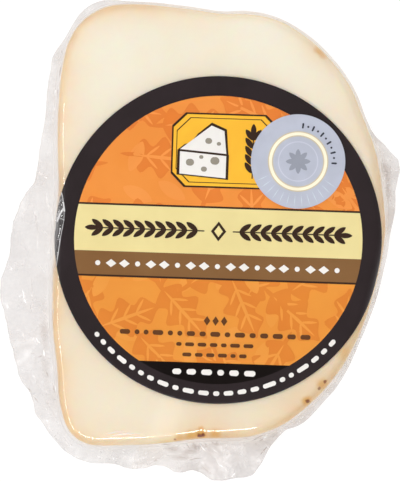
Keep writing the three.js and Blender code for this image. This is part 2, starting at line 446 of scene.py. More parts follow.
def film_point(kind, share, side, turn):
    """Where the film is in one direction, how crumpled it is there and how white."""
    wall, normal = wall_at(turn)
    low, high = cheese_low.z, cheese_high.z
    upper = 1 if side > 0 else 0  # only the upper web is strained white
    if kind == "face":
        rim_start = wall - normal * RIM_REACH
        place = middle + (rim_start - middle) * share
        place.z = high + MM if side > 0 else low - MM
        return clung(place, 0.0), 0.0, 0.0
    if kind == "rim":
        angle = share * math.pi / 2
        place = wall - normal * RIM_REACH * (1 - math.sin(angle))
        drop = RIM_REACH * (1 - math.cos(angle))
        place.z = high - drop if side > 0 else low + drop
        veil = strongest(VEILED, turn) * eased(share * 2 - 0.4) * upper
        return clung(place, RIM_RIPPLE * noise.noise(place * 500)), 0.1 * share, veil
    meet = SEAM_HEIGHT + side * TENT_RISE
    clear = eased(0.5 + (CLEAR_SIDE[1] - off(turn, CLEAR_SIDE[0])) / CLEAR_FADE)
    if kind == "wall":
        place = wall.copy()
        top = high - RIM_REACH if side > 0 else low + RIM_REACH
        place.z = top + (meet - top) * share
        ripple = WALL_RIPPLE * cell_height(place, 3.5 * MM) * share
        veil = max(strongest(VEILED, turn) * (1 - share) ** 2, SEAM_WHITE * share**2)
        return clung(place, ripple), 0.1 + 0.2 * share, veil * upper * (1 - clear)
    reach = read_round(edge_reach, turn) - read_round(wall_reach, turn)
    lean = outward(turn).dot(normal)
    root = min(ROOT_WIDTH, ROOT_SHARE * reach)
    if kind == "tent":
        place = wall + normal * (CLING + root * share)
        place.z = SEAM_HEIGHT + side * (TENT_RISE + (PLY_ROOT - TENT_RISE) * math.sin(share * math.pi / 2))
        return place, 0.3 + 0.2 * share * (1 - clear), (SEAM_WHITE - 0.2 * share) * upper * (1 - clear)
    out = outward(turn)
    start = wall + normal * (CLING + root)
    far = max(reach - root * lean, 0.2 * MM)
    place = start + out * far * share
    outness = min(1.0, far * share / (0.5 * WIDEST)) ** 0.8
    level = SEAM_HEIGHT + (read_round(edge_height, turn) - SEAM_HEIGHT) * share
    mid = level + crumple(place, outness, turn)
    own = PLY_RIPPLE * noise.noise(Vector((place.x, place.y, side)) * 600) * min(1.0, 4 * share)
    gap = PLY_ROOT + (PLY_EDGE - PLY_ROOT) * math.sqrt(share)
    place.z = mid + side * (gap + max(-0.6 * gap, own))
    slip = noise.noise_vector(place * 350) * SLIP * MM * outness
    # near the root the upper web is whitened: white strain on the crumpled film, and a painted tan
    # reflection of the cheese on the shaded film
    near_root = math.exp(-far * share / ROOT_FADE)
    crumpled = 0.3 + (0.7 + strongest(HAZY, turn) * eased(2 * share)) * (1 - clear)
    return place + Vector((slip.x, slip.y, 0)), crumpled, 0.25 * near_root * upper * (1 - clear)


def clung(place, lift):
    """A point of the film that lies on the cheese."""
    spot, normal = cheese_tree.find_nearest(place)[:2]
    return spot + normal * (CLING + lift)


# whitened colours: white for strained film and for painted highlights, and tan for a painted reflection of
# the cheese wall near the margin's root; the tan milk is the same painted reflection in the narrow film
WHITE_STRAIN_AND_GLINT, TAN_REFLECTION = (0.96, 0.95, 0.95), (0.88, 0.74, 0.6)
GREY_MILK, SHADED_MILK, TAN_REFLECTION_MILK = (0.78, 0.765, 0.77), (0.78, 0.75, 0.745), (0.78, 0.68, 0.57)
FILM_IOR = 1.55


def film_material(name, tint, shine, ripple, milkiness, milk_colour=GREY_MILK, whitened_colour=WHITE_STRAIN_AND_GLINT):
    """Clear film. It dims what is behind it a little, shines, and is milky in clouds and where strained; the
    same whitening carries painted highlights and a painted tan reflection of the cheese.
    """
    most_shine, roughness, shine_share = shine
    material, tree = new_material(name)
    coords = object_place(tree)
    crumpled, whitening = attribute(tree, "crumpled"), attribute(tree, "whitened")
    patches = ramp(tree, noise_node(tree, coords, 130.0, 2.0), 0.45, 0.65, 0.2, 1.0)
    ripples = math_of(tree, "MULTIPLY", noise_node(tree, coords, 480.0, 4.0), patches)
    normal = bump(tree, math_of(tree, "MULTIPLY", ripples, crumpled), ripple, 0.6)
    clear = node(tree, "BsdfTransparent", {"Color": (*tint, 1)})
    gloss = node(tree, "BsdfGlossy", {"Color": (1, 1, 1, 1), "Roughness": roughness, "Normal": normal})
    fresnel = node(tree, "Fresnel", {"IOR": FILM_IOR, "Normal": normal})
    slack = ramp(tree, attribute(tree, "slack"), 0.2, 0.8, shine_share, 0.1 * shine_share)
    mirror = math_of(tree, "MULTIPLY", math_of(tree, "MINIMUM", fresnel, most_shine), slack)
    skin = node(tree, "MixShader", {0: mirror, 1: clear, 2: gloss})
    cloudy = ramp(tree, noise_node(tree, coords, 120.0, 4.0), 0.3, 0.75, *milkiness)
    whitest = math_of(tree, "MAXIMUM", math_of(tree, "MULTIPLY", cloudy, crumpled), whitening)
    tone = mix_colour(tree, whitening, (*milk_colour, 1), (*whitened_colour, 1))
    milk = node(tree, "BsdfDiffuse", {"Color": tone})
    surface(tree, node(tree, "MixShader", {0: whitest, 1: skin, 2: milk}))
    return material


# name, tint, shine (its most, its roughness and its share), ripple, how milky, milk and whitened colours
FILMS = [
    ("clinging film", (0.985, 0.979, 0.98), (0.14, 0.05, 1.0), 0.15 * MM, (0.0, 0.08)),
    ("crumpled film", (0.92, 0.909, 0.905), (0.3, 0.3, 0.35), 0.2 * MM, (0.0, 0.45)),
    # painted shade: this film has more milk and greyer milk than the crumpled film
    ("dusky film", (0.945, 0.933, 0.927), (0.3, 0.25, 0.5), 0.35 * MM, (0.1, 0.5), SHADED_MILK, TAN_REFLECTION),
    # painted reflection: the narrow film's milk has the tan of the cheese wall
    ("narrow film", (0.965, 0.955, 0.95), (0.1, 0.1, 1.0), 0.1 * MM, (0.6, 0.8), TAN_REFLECTION_MILK),
]
CRUMPLED_FILM, SHADED_FILM, NARROW_FILM = 1, 2, 3  # places in FILMS
section = film_section()
bm = bmesh.new()
bmesh.ops.create_uvsphere(bm, u_segments=FILM_STATIONS, v_segments=len(section) - 1, radius=1)
crumpled_layer, whitened_layer, slack_layer = new_layers(bm, "crumpled", "whitened", "slack")
for v in bm.verts:
    ring = round(math.acos(max(-1.0, min(1.0, v.co.z))) / math.pi * (len(section) - 1))
    turn = math.atan2(v.co.y, v.co.x)
    v.co, v[crumpled_layer], v[whitened_layer] = film_point(*section[ring], turn)
    v[slack_layer] = strongest(SLACK, turn)
for face in bm.faces:
    looseness = [v[crumpled_layer] for v in face.verts]
    if max(looseness) > LOOSE:
        outward_way = face.calc_center_median() - middle
        shaded = off(math.atan2(outward_way.y, outward_way.x), SHADED_SIDE[0]) < SHADED_SIDE[1]
        face.material_index = SHADED_FILM if shaded else CRUMPLED_FILM
    elif min(looseness) > NARROW:
        face.material_index = NARROW_FILM
bmesh.ops.recalc_face_normals(bm, faces=bm.faces)
film_tree = BVHTree.FromBMesh(bm)
film = piece_from("bag_film", bm, *(film_material(*made) for made in FILMS))
declare(film, "film", "bag")

# --- Label -------------------------------------------------------------------------------------
# A round sticker of satin paper on the front of the bag: a near-black rim, an orange field, a cream
# band, a brown band and a black foot. At its left edge it turns down over the cheese's rim.

FIELD_RADIUS = 33.6 * MM
LABEL_LIFT, LABEL_THICKNESS = 0.04 * MM, 0.2 * MM
LABEL_TURN = math.radians(-1.9)
CREAM_TOP, CREAM_FOOT, BROWN_FOOT, BLACK_TOP = 7.8 * MM, -3.4 * MM, -8.9 * MM, -28.7 * MM
LINE = 0.45 * MM
FIELD_RINGS, EDGE_RINGS, LABEL_STATIONS = 26, 16, 480
# The creased film over the turned-down left edge: its inner side, and the white lines painted along its
# creases as highlights, from the middle.
SKIRT_SIDE = [(-6.4, -37.75), (-3, -37.25), (1, -36.6), (5, -35.8), (7, -35.65), (9, -36.0), (11.4, -36.5)]
SKIRT_PAINTED_GLINTS = [
    ((-36.6, 11.0), (-36.2, 10.2), 0.4, 0.7), ((-36.3, 10.2), (-36.1, 8.6), 0.28, 0.5),
    ((-36.1, 8.7), (-35.9, 6.8), 0.35, 0.85), ((-36.1, 7.3), (-36.9, 6.1), 0.4, 0.8),
    ((-36.9, 6.1), (-37.6, 4.4), 0.45, 0.85), ((-37.0, 6.8), (-37.6, 5.6), 0.5, 0.4),
    ((-36.6, 9.4), (-37.0, 8.9), 0.22, 0.5), ((-36.7, 5.0), (-35.5, 4.5), 0.18, 0.55),
    ((-35.9, 6.6), (-36.1, 3.6), 0.2, 0.35), ((-36.2, 3.6), (-36.8, 0.2), 0.22, 0.45),
    ((-36.8, 0.2), (-37.3, -3.0), 0.22, 0.75), ((-37.3, -3.0), (-37.65, -6.1), 0.26, 0.95),
    ((-37.4, 2.6), (-37.2, 1.2), 0.3, 0.15),
]
to_label = Matrix.Translation(middle) @ Matrix.Rotation(LABEL_TURN, 4, "Z")


def dimmed(colour, share):
    return (*(c * share for c in colour[:3]), 1)


def print_material(name, colour, other=None, roughness=0.3, sheen=0.25):
    """Ink on satin paper, a little uneven, from one screen colour to another."""
    material, tree = new_material(name)
    coords = object_place(tree)
    colour = paint(*colour)
    other = paint(*other) if other else dimmed(colour, 0.96)
    uneven = ramp(tree, noise_node(tree, coords, 90.0, 3.0), 0.35, 0.65)
    skin = {
        "Base Color": mix_colour(tree, uneven, colour, other),
        "Roughness": roughness,
        "Specular IOR Level": sheen,
        "Normal": bump(tree, noise_node(tree, coords, 2500.0), 0.01 * MM, 0.3),
    }
    surface(tree, node(tree, "BsdfPrincipled", skin))
    return material


black_ink = print_material("black ink", (41, 33, 34), (45, 36, 38), 0.27)
foot_ink = print_material("foot ink", (18, 12, 10), (21, 15, 13), 0.3, 0.12)
orange_ink = print_material("orange ink", (236, 145, 62), (233, 141, 58))
amber_ink = print_material("amber ink", (231, 149, 58), (228, 144, 55))
cream_ink = print_material("cream ink", (233, 217, 154), (229, 212, 149))
brown_ink = print_material("brown ink", (132, 94, 55), (128, 89, 50))
line_ink = print_material("dark brown ink", (54, 35, 24))
LABEL_INKS = [black_ink, foot_ink, orange_ink, amber_ink, cream_ink, brown_ink, line_ink]


def ink_at(flat):
    """Which ink a point of the flat label has."""
    if flat.xy.length > FIELD_RADIUS:
        return black_ink
    if flat.y < BLACK_TOP:
        return foot_ink
    if flat.y > CREAM_TOP:
        return orange_ink
    if flat.y > CREAM_TOP - LINE or BROWN_FOOT - LINE < flat.y < BROWN_FOOT:
        return line_ink
    if flat.y > CREAM_FOOT:
        return cream_ink
    return brown_ink if flat.y > BROWN_FOOT else amber_ink


def disc(radii, stations):
    """A flat round sheet with a ring of vertices at each radius."""
    bm = bmesh.new()
    spoke = [bm.verts.new((radius, 0, 0)) for radius in radii]
    edges = [bm.edges.new(pair) for pair in zip(spoke, spoke[1:])]
    around = 2 * math.pi
    bmesh.ops.spin(bm, geom=[*spoke, *edges], axis=(0, 0, 1), angle=around, steps=stations, use_merge=True)
    bmesh.ops.remove_doubles(bm, verts=bm.verts, dist=WELD)
    return bm


def cut(bm, place, normal, **cleared):
    """Cuts everything at a plane, and clears away one side of it if told to."""
    everything = [*bm.verts, *bm.edges, *bm.faces]
    bmesh.ops.bisect_plane(bm, geom=everything, plane_co=place, plane_no=normal, dist=WELD, **cleared)


def top_at(tree, place):
    """How high the top is at a place seen from above, or the cheese's height where nothing is."""
    hit = tree.ray_cast(Vector((place.x, place.y, SKY)), DOWN)[0]
    return hit.z if hit else cheese_high.z


def drape(bm, tree, lift):
    """Lays a flat sheet on what is under it. Its own heights stay, measured from there."""
    for v in bm.verts:
        v.co.z += top_at(tree, v.co) + lift


WRAP_START, WRAP_STEP = 34 * MM, 0.1 * MM
WRAP_SHARE = 0.4  # how much of the fall draws it in


def wrap(bm, tree):
    """Draws a flat sheet in where the rim falls away under its right side, as a sticker bends down."""
    for v in bm.verts:
        out = v.co.xy.to_3d() - middle
        width = out.length
        if width <= WRAP_START or out.x < 0:
            continue
        out.normalize()
        reach = run = WRAP_START
        level = top_at(tree, middle + out * reach)
        while run < width:
            reach += WRAP_STEP
            next_level = top_at(tree, middle + out * reach)
            step = math.hypot(WRAP_STEP, WRAP_SHARE * (next_level - level))
            run += step
            level = next_level
        v.co = middle + out * (reach - WRAP_STEP * (run - width) / step)


def thicken(bm, thickness):
    """Gives a sheet a top, so that it becomes a closed plate."""
    made = bmesh.ops.extrude_face_region(bm, geom=bm.faces)["geom"]
    upper = [item for item in made if isinstance(item, bmesh.types.BMVert)]
    bmesh.ops.translate(bm, vec=(0, 0, thickness), verts=upper)
    bmesh.ops.recalc_face_normals(bm, faces=bm.faces)
    if bm.calc_volume(signed=True) < 0:
        bmesh.ops.reverse_faces(bm, faces=bm.faces)


rings = [FIELD_RADIUS * k / FIELD_RINGS for k in range(FIELD_RINGS + 1)]
rings += [FIELD_RADIUS + (LABEL_RADIUS - FIELD_RADIUS) * (k + 1) / EDGE_RINGS for k in range(EDGE_RINGS)]
bm = disc(rings, LABEL_STATIONS)
for level in (CREAM_TOP, CREAM_TOP - LINE, CREAM_FOOT, BROWN_FOOT, BROWN_FOOT - LINE, BLACK_TOP):
    cut(bm, (0, level, 0), (0, 1, 0))
for face in bm.faces:
    face.material_index = LABEL_INKS.index(ink_at(face.calc_center_median()))
bmesh.ops.transform(bm, matrix=to_label, verts=bm.verts)
wrap(bm, film_tree)
drape(bm, film_tree, LABEL_LIFT)
thicken(bm, LABEL_THICKNESS)
label_tree = BVHTree.FromBMesh(bm)
label = piece_from("label_sheet", bm, *LABEL_INKS)
declare(label, "label", "label")


def skirt_side(y):
    """The inner side of the creased film at one level."""
    for (low, x_low), (high, x_high) in zip(SKIRT_SIDE, SKIRT_SIDE[1:]):
        if y <= high:
            return x_low + (x_high - x_low) * (y - low) / (high - low)
    return SKIRT_SIDE[-1][1]


def near_line(point, start, end, reach):
    """1 on a line between two places given from the middle, fading to 0 at its reach."""
    start, end = Vector(start), Vector(end)
    place = (point - middle).xy / MM
    if (place - start).length > (end - start).length + reach:
        return 0.0
    along = max(0.0, min(1.0, (place - start).dot(end - start) / (end - start).length_squared))
    return eased(1 - (place - start - (end - start) * along).length / reach)


bm = bmesh.new()
bmesh.ops.create_grid(bm, x_segments=24, y_segments=140, size=0.5)
whitened_layer, crumpled_layer = new_layers(bm, "whitened", "crumpled")
for v in bm.verts:
    across, up = v.co.x + 0.5, v.co.y + 0.5
    y = SKIRT_SIDE[0][0] + (SKIRT_SIDE[-1][0] - SKIRT_SIDE[0][0]) * up
    outer, inner = -math.sqrt((LABEL_RADIUS / MM) ** 2 - y * y), skirt_side(y)
    v.co = middle + Vector((outer + (inner - outer) * across, y, 0)) * MM
    stands_off = math.sin(math.pi * across) * eased(4 * up) * eased(4 * (1 - up))
    creased = cell_height(Vector((v.co.x + 0.5 * v.co.y, 0.6 * v.co.y, 0)), 1.5 * MM)
    v.co.z = (0.1 + 0.35 * creased) * stands_off * MM
    v[crumpled_layer] = 1.0
    # painted highlights along the skirt's creases
    for start, end, reach, whiteness in SKIRT_PAINTED_GLINTS:
        v[whitened_layer] = max(v[whitened_layer], 0.85 * whiteness * near_line(v.co, start, end, reach))
drape(bm, label_tree, 0.03 * MM)
thicken(bm, 0.02 * MM)
skirt_film = film_material("skirt film", (0.97, 0.965, 0.965), (0.1, 0.08, 1.0), 0.3 * MM, (0.0, 0.03))
skirt = piece_from("label_skirt_film", bm, skirt_film)
declare(skirt, "film")

# --- Print on the label ------------------------------------------------------------------------
# The label's inks, each a thin raised film: oak leaves tone on tone over the orange field, a gold
# panel with a wedge of cheese, a laurel garland on the cream band, and rows of small marks.

INK = 0.03 * MM
INK_LIFT = 0.012 * MM
FIELD_TANGENTS = 72
LAYOUT_RADIUS = 44  # the pattern reaches a little past the label before it is cut to it
LOOSENESS = 0.15  # how far a leaf lies out of its row, as a share of the pitch


def shape(bm, segments, form, place, turn=0.0, rise=0.0):
    """A flat shape on the label. Its form gives the outline's points for angles round it."""
    made = bmesh.ops.create_circle(bm, cap_ends=True, segments=segments, radius=1)["verts"]
    for v in made:
        angle = math.atan2(v.co.y, v.co.x)
        x, y = form(angle)
        v.co = (x * MM, y * MM, rise * MM)
    bmesh.ops.rotate(bm, verts=made, cent=(0, 0, 0), matrix=Matrix.Rotation(turn, 3, "Z"))
    bmesh.ops.translate(bm, verts=made, vec=(place[0] * MM, place[1] * MM, 0))


def leaf(length, width):
    """A pointed leaf from its stalk."""
    return lambda a: ((math.cos(a) + 1) * length / 2, math.sin(a) * abs(math.sin(a)) ** 0.5 * width / 2)


def oak_leaf(length, width, lobes=3):
    """A leaf with rounded lobes, narrow at its stalk."""

    def form(a):
        along = (math.cos(a) + 1) / 2
        body = math.sin(math.pi * along**0.7) ** 0.6
        swell = body * (0.74 + 0.26 * math.cos(2 * math.pi * (lobes * along - 0.35)))
        return length * along, math.copysign(swell * width / 2, math.sin(a))

    return form


def pill(length, height):
    """A bar with round ends."""
    return lambda a: (
        math.cos(a) * height / 2 + math.copysign(max(0.0, length - height) / 2, math.cos(a)),
        math.sin(a) * height / 2,
    )


def lozenge(width, height):
    return lambda a: (math.cos(a) * width / 2, math.sin(a) * height / 2)


def polygon(*corners):
    """Straight-sided, its corners given in turn."""
    return lambda a: corners[round(a / (2 * math.pi) * len(corners)) % len(corners)]


def printed(name, bm, material):
    """Lays finished shapes on the label as one film of ink."""
    bmesh.ops.transform(bm, matrix=to_label, verts=bm.verts)
    drape(bm, label_tree, INK_LIFT)
    thicken(bm, INK)
    ink = piece_from(name, bm, material)
    ink.data.shade_flat()
    declare(ink, "label")


def keep(bm, level, keep_above):
    """Cuts the shapes off at a level of the label."""
    cut(bm, (0, level, 0), (0, 1, 0), clear_outer=not keep_above, clear_inner=keep_above)


def keep_in_field(bm):
    """Cuts the shapes off at the rim of the orange field."""
    for k in range(FIELD_TANGENTS):
        out = outward(2 * math.pi * k / FIELD_TANGENTS)
        cut(bm, out * FIELD_RADIUS, out, clear_outer=True)


def scattered(seed, pitch, keep_share, draw_one):
    """Draws something over the whole label in a loose, staggered layout."""
    draw = random.Random(seed)
    bm = bmesh.new()
    rows = round(2 * LAYOUT_RADIUS / pitch)
    for row in range(rows):
        for column in range(rows):
            x = (column - rows / 2 + (row % 2) / 2) * pitch + draw.uniform(-LOOSENESS, LOOSENESS) * pitch
            y = (row - rows / 2) * pitch * 0.9 + draw.uniform(-LOOSENESS, LOOSENESS) * pitch
            turn, rise, chance = draw.uniform(0, 2 * math.pi), draw.uniform(0, 0.06), draw.random()
            if math.hypot(x, y) < LAYOUT_RADIUS and chance < keep_share:
                draw_one(bm, Vector((x, y, 0)), turn, rise)
    return bm


def in_field(name, make, upper, lower):
    """A layout cut to the upper and to the lower part of the field, each in its own shade."""
    for part_name, material in (("upper", upper), ("lower", lower)):
        bm = make()
        keep_in_field(bm)
        if part_name == "upper":
            keep(bm, CREAM_TOP, True)
        else:
            keep(bm, BROWN_FOOT - LINE, False)
            keep(bm, BLACK_TOP, True)
        printed(f"{name}_{part_name}", bm, material)


OAK_LENGTH, OAK_WIDTH, OAK_PITCH, OAK_SHARE = 15.5, 10.0, 12.6, 0.92


def draw_oak_leaf(bm, place, turn, rise):
    """The whole leaf with its stalk."""
    along = outward(turn)
    foot = place - along * OAK_LENGTH / 2
    shape(bm, 72, oak_leaf(OAK_LENGTH, OAK_WIDTH), foot, turn, rise)
    shape(bm, 16, leaf(6, 1.1), foot - along * 3, turn, rise)


def draw_oak_veins(bm, place, turn, rise):
    """A midrib and three pairs of side veins."""
    along = outward(turn)
    foot = place - along * OAK_LENGTH / 2
    shape(bm, 24, leaf(OAK_LENGTH * 0.86, 0.8), foot + along * 0.6, turn, rise + 0.02)
    for k in range(3):
        joint = foot + along * OAK_LENGTH * (0.2 + 0.2 * k)
        for side in (-1, 1):
            shape(bm, 16, leaf(OAK_WIDTH * 0.4, 0.6), joint, turn + side * 0.75, rise + 0.022)


def draw_small_leaf(bm, place, turn, rise):
    shape(bm, 40, leaf(7.5, 3.2), place, turn, rise)


deep_inks = (
    print_material("deep orange ink", (227, 127, 49), (224, 122, 46)),
    print_material("deep amber ink", (222, 131, 47), (219, 126, 44)),
)
pale_inks = (
    print_material("pale orange ink", (239, 150, 71), (236, 146, 67)),
    print_material("pale amber ink", (233, 153, 65), (230, 149, 61)),
)
in_field("small_leaves", lambda: scattered(11, 9.5, 0.6, draw_small_leaf), *pale_inks)
in_field("oak_leaves", lambda: scattered(7, OAK_PITCH, OAK_SHARE, draw_oak_leaf), *deep_inks)
in_field("oak_veins", lambda: scattered(7, OAK_PITCH, OAK_SHARE, draw_oak_veins), *pale_inks)

PANEL_LEFT, PANEL_RIGHT, PANEL_FOOT, PANEL_TOP = -11.6, 13.4, 12.1, 29.5
PANEL_CORNER, PANEL_LINE = 2.2, 0.38
PANEL_MIDDLE = ((PANEL_LEFT + PANEL_RIGHT) / 2, (PANEL_FOOT + PANEL_TOP) / 2)
gold_ink = print_material("gold ink", (246, 188, 52), (243, 180, 48))
white_ink = print_material("white ink", (238, 234, 229))


def panel(bm, inset, rise):
    """A rectangle with hollow corners, laid in cells so that it can follow the label."""
    width, height = PANEL_RIGHT - PANEL_LEFT - 2 * inset, PANEL_TOP - PANEL_FOOT - 2 * inset
    made = bmesh.ops.create_grid(bm, x_segments=24, y_segments=18, size=0.5)["verts"]
    bmesh.ops.scale(bm, vec=(width * MM, height * MM, 1), verts=made)
    bmesh.ops.translate(bm, vec=(PANEL_MIDDLE[0] * MM, PANEL_MIDDLE[1] * MM, rise * MM), verts=made)
    for across in (-1, 1):
        for up in (-1, 1):
            corner = Vector((across * width / 2, up * height / 2, 0)) + Vector((*PANEL_MIDDLE, 0))
            place = corner - Vector((across, up, 0)).normalized() * PANEL_CORNER
            cut(bm, place * MM, (across, up, 0), clear_outer=True)


for name, inset, rise, material in (
    ("panel_outline", 0.0, 0.1, line_ink),
    ("panel_field", PANEL_LINE, 0.12, gold_ink),
    ("panel_keyline", 1.1, 0.14, line_ink),
    ("panel_inner", 1.28, 0.16, gold_ink),
):
    bm = bmesh.new()
    panel(bm, inset, rise)
    printed(name, bm, material)

# the wedge on the panel: its cut side and its top, both in white with a dark edge
WEDGE_SIDE = ((-9.6, 15.2), (1.2, 14.4), (1.2, 19.6), (-9.6, 20.4))
WEDGE_TOP = ((-9.6, 20.9), (1.2, 20.1), (0.6, 25.4), (-2.4, 26.6))
WEDGE_HOLES = [
    (-7.2, 17.9, 0.95), (-3.9, 16.4, 0.7), (-1.4, 18.4, 1.05), (-4.6, 19.2, 0.5),
    (-3.0, 23.0, 0.8), (-0.6, 22.4, 0.5),
]
WEDGE_EDGE = 0.35


def grown(corners, by):
    """Corners moved outward from their middle."""
    centre = sum((Vector(corner) for corner in corners), Vector((0, 0))) / len(corners)
    return [Vector(corner) + (Vector(corner) - centre).normalized() * by for corner in corners]


bm = bmesh.new()
for corners in (WEDGE_SIDE, WEDGE_TOP):
    shape(bm, 4, polygon(*grown(corners, 2 * WEDGE_EDGE)), (0, 0), 0, 0.18)
printed("wedge_edge", bm, line_ink)
bm = bmesh.new()
for corners in (WEDGE_SIDE, WEDGE_TOP):
    shape(bm, 4, polygon(*corners), (0, 0), 0, 0.2)
printed("wedge_white", bm, white_ink)
bm = bmesh.new()
for x, y, radius in WEDGE_HOLES:
    shape(bm, 20, pill(2 * radius, 1.7 * radius), (x, y), 0, 0.22)
printed("wedge_holes", bm, print_material("grey ink", (150, 142, 128)))


def branch(bm, start, turn, length, pairs, leaf_length, leaf_width, rise, curl=0.0):
    """A laurel branch: a stem with pairs of leaves and a last leaf at its tip."""
    place, heading = Vector((*start, 0)), turn
    step = length / pairs
    for k in range(pairs):
        along = outward(heading)
        shape(bm, 12, pill(step * 1.1, 0.32), place + along * step / 2, heading, rise)
        place += along * step
        for side in (-1, 1):
            joint = place - along * step * 0.4
            over = rise + 0.004 * (side + 2)
            shape(bm, 18, leaf(leaf_length, leaf_width), joint, heading + side * 0.62, over)
        heading += curl / pairs
    shape(bm, 18, leaf(leaf_length, leaf_width), place, heading, rise)


bm = bmesh.new()
for side in (-1, 1):
    branch(bm, (side * 3.4, 2.0), 0 if side > 0 else math.pi, 24.5, 10, 3.3, 1.25, 0.02)
shape(bm, 4, lozenge(3.6, 4.6), (0, 2.0), 0, 0.02)
branch(bm, (7.4, 14.6), math.pi / 2, 9.6, 5, 3.1, 1.3, 0.18)
printed("garland", bm, line_ink)
bm = bmesh.new()
shape(bm, 4, lozenge(2.0, 2.7), (0, 2.0), 0, 0.05)
printed("garland_heart", bm, cream_ink)

# rows of small marks, where a label carries its small print
SMALL_ROWS = [(-26.9, 15, 0.9, 6), (-24.5, 18, 0.9, 7), (-22.0, 44.5, 1.15, 16)]


def marks_in_row(bm, seed, width, height, count, place_at, rise=0.02):
    """Bars of uneven length with gaps between them, along a straight or round line."""
    draw = random.Random(seed)
    lengths = [draw.uniform(0.6, 1.6) for _ in range(count)]
    gap = 0.9 * height
    scale = (width - gap * (count - 1)) / sum(lengths)
    along = -width / 2
    for length in (share * scale for share in lengths):
        place, turn = place_at(along + length / 2)
        shape(bm, 16, pill(length, height), place, turn, rise)
        along += length + gap


def straight(level):
    return lambda along: ((along, level), 0.0)


ARC_RADIUS = 35.8
BAND_LEVEL, BAND_PITCH = -6.2, 3.1


def on_rim(along):
    """A place on the label's rim, measured from its lowest point."""
    turn = along / ARC_RADIUS
    return (ARC_RADIUS * math.sin(turn), -ARC_RADIUS * math.cos(turn)), turn


bm = bmesh.new()
for row, (level, width, height, count) in enumerate(SMALL_ROWS):
    marks_in_row(bm, 20 + row, width, height, count, straight(level), 0.1)
for x in (-2, 0, 2):
    shape(bm, 4, lozenge(1.5, 2.2), (x, -18.9), 0, 0.1)
printed("small_print", bm, print_material("brown small ink", (98, 58, 28)))

bm = bmesh.new()
marks_in_row(bm, 31, 64, 1.1, 22, on_rim)
marks_in_row(bm, 33, 19.4, 1.35, 6, straight(-30.9))
for k in range(-9, 10):
    segments, form = (4, lozenge(2.5, 1.9)) if k % 3 else (16, pill(1.2, 1.2))
    shape(bm, segments, form, (k * BAND_PITCH, BAND_LEVEL), 0, 0.02)
printed("white_marks", bm, white_ink)

# --- Seal --------------------------------------------------------------------------------------
# A small round sticker of satin foil, half on the label's field and half on its rim. A bright ring
# is printed round its middle, with fine rays and a row of small marks outside it.

SEAL_RADIUS = 11
SEAL_PLACE = (18.6, 18.3)
SEAL_LIFT, SEAL_THICKNESS = 0.2 * MM, 0.12 * MM
SEAL_STATIONS = 120
RING_INNER, RING_OUTER = 5.85, 7.05
RAY_RADIUS, MARK_RADIUS = 9.1, 8.4
RING_EDGE = 0.24 * MM
to_seal = Matrix.Translation(middle + Vector((SEAL_PLACE[0] * MM, SEAL_PLACE[1] * MM, 0)))


def foil_material(name, colour, metallic=0.12, roughness=0.4):
    material, tree = new_material(name)
    uneven = ramp(tree, noise_node(tree, object_place(tree), 200.0, 2.0), 0.3, 0.7)
    colour = paint(*colour)
    shade = mix_colour(tree, uneven, colour, dimmed(colour, 0.93))
    skin = {"Base Color": shade, "Metallic": metallic, "Roughness": roughness}
    surface(tree, node(tree, "BsdfPrincipled", skin))
    return material


def sealed(name, bm, lift, thickness, material):
    """Lays a sheet on the label at the seal's place."""
    bmesh.ops.transform(bm, matrix=to_seal, verts=bm.verts)
    drape(bm, label_tree, lift)
    thicken(bm, thickness)
    sheet = piece_from(name, bm, material)
    sheet.data.shade_flat()
    declare(sheet, "foil")
    return sheet


bm = disc([SEAL_RADIUS * MM * k / 12 for k in range(13)], SEAL_STATIONS)
seal = sealed("seal_foil", bm, SEAL_LIFT, SEAL_THICKNESS, foil_material("seal foil", (190, 194, 209)))
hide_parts("seal")
on_foil = SEAL_LIFT + SEAL_THICKNESS + 0.004 * MM
ring_middle = (RING_INNER + RING_OUTER) / 2 * MM
bm = disc([RING_INNER * MM, ring_middle, RING_OUTER * MM], SEAL_STATIONS)
sealed("seal_ring_edges", bm, on_foil, INK, foil_material("gold ring", (214, 196, 158), 0.0, 0.3))
bm = disc([RING_INNER * MM + RING_EDGE, ring_middle, RING_OUTER * MM - RING_EDGE], SEAL_STATIONS)
sealed("seal_ring", bm, on_foil + INK, INK, foil_material("bright ring", (255, 247, 220), 0.0, 0.3))
bm = disc([4.45 * MM, 4.7 * MM], SEAL_STATIONS)
sealed("seal_inner_ring", bm, on_foil, INK, foil_material("pale foil", (206, 208, 222)))
bm = bmesh.new()
for k in range(8):
    shape(bm, 18, leaf(2.9, 1.25), (0, 0), k * math.pi / 4, 0.002 * k)
sealed("seal_rosette", bm, on_foil, INK, foil_material("grey foil", (154, 158, 171)))
bm = bmesh.new()
for k in range(13):
    turn = math.radians(205 + 10 * k)
    shape(bm, 4, lozenge(3.2, 0.14), (RAY_RADIUS * math.cos(turn), RAY_RADIUS * math.sin(turn)), turn)
sealed("seal_rays", bm, on_foil, INK, foil_material("ray foil", (214, 226, 232)))
bm = bmesh.new()
for k in range(11):
    turn = math.radians(82 - 8.5 * k)
    form = pill(0.5, 0.5) if k % 2 else pill(1.3, 0.45)
    shape(bm, 12, form, (MARK_RADIUS * math.cos(turn), MARK_RADIUS * math.sin(turn)), turn, 0.03)
sealed("seal_marks", bm, on_foil, INK, print_material("seal ink", (52, 54, 66)))

# --- Creases in the film: painted highlights and painted shade ---------------------------------
# Painted light on the loose film: a white sliver is a painted highlight where a sharp fold would catch
# the light, and a dull sliver is painted shade beside a fold or under the rim. Each crease is a sliver
# that lies on the film, strongest along its middle.

STEEP = 0.8 * MM  # a cell of a sliver that drops by more than this would hang down the wall
